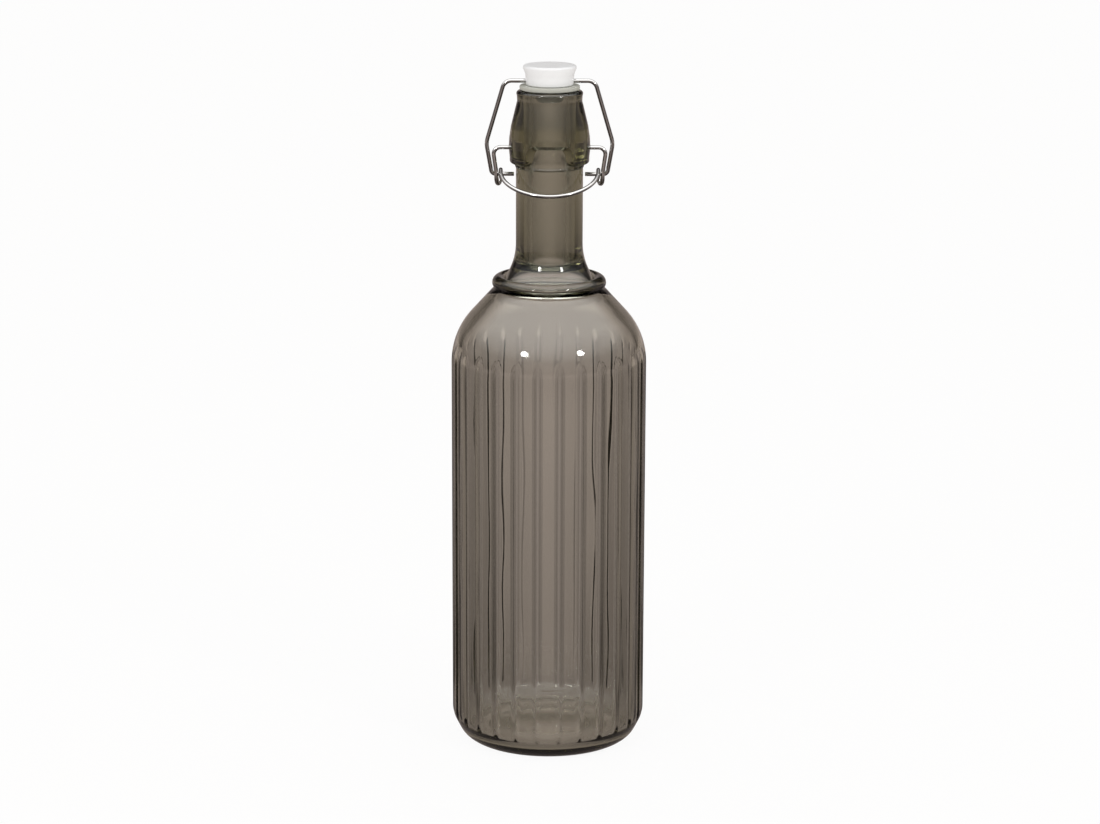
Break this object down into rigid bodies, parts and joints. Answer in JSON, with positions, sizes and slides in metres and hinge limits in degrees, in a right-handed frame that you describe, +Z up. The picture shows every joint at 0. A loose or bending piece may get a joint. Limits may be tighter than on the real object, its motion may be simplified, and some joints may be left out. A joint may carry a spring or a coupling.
{
  "type": "swing-top bottle",
  "caption": "Tall smoke-grey glass bottle with a reeded body, ringed neck and a wire swing-top closure with a sealed plastic stopper.",
  "frame": {"origin": "on the bottle's axis, in the plane of the ring it stands on", "axes": "+Z up along the bottle's axis; -Y is the front, where the lever's handle lies; +X along the lever's pivots"},
  "size_m": [0.086, 0.086, 0.3041],
  "materials": {
    "glass": "clear smoke-grey glass with a slight olive tint, fire-polished",
    "stopper": "white moulded plastic, satin to gloss",
    "gasket": "translucent pale silicone, satin",
    "wire": "bright drawn stainless steel wire"
  },
  "bodies": {
    "bottle": {"bottle": "glass"},
    "lever": {"lever_wire": "wire"},
    "bail": {"bail_wire": "wire"},
    "stopper": {"stopper": "stopper", "gasket": "gasket"}
  },
  "joints": [
    {"name": "lever_pivot", "type": "hinge", "parent": "bottle", "child": "lever", "pos_m": [0, 0, 0.26799], "axis": [1, 0, 0], "range_deg": [-95, 0]},
    {"name": "bail_pins", "type": "hinge", "parent": "lever", "child": "bail", "pos_m": [0, 0.0028, 0.25585], "axis": [1, 0, 0], "range_deg": [0, 69]},
    {"name": "stopper_tilt", "type": "hinge", "parent": "bail", "child": "stopper", "pos_m": [0, 0, 0.29709], "axis": [1, 0, 0], "range_deg": [0, 26.2]}
  ],
  "couplings": [
    {"joint": "bail_pins", "follows": "lever_pivot", "ratio": -0.725},
    {"joint": "stopper_tilt", "follows": "lever_pivot", "ratio": -0.275}
  ]
}
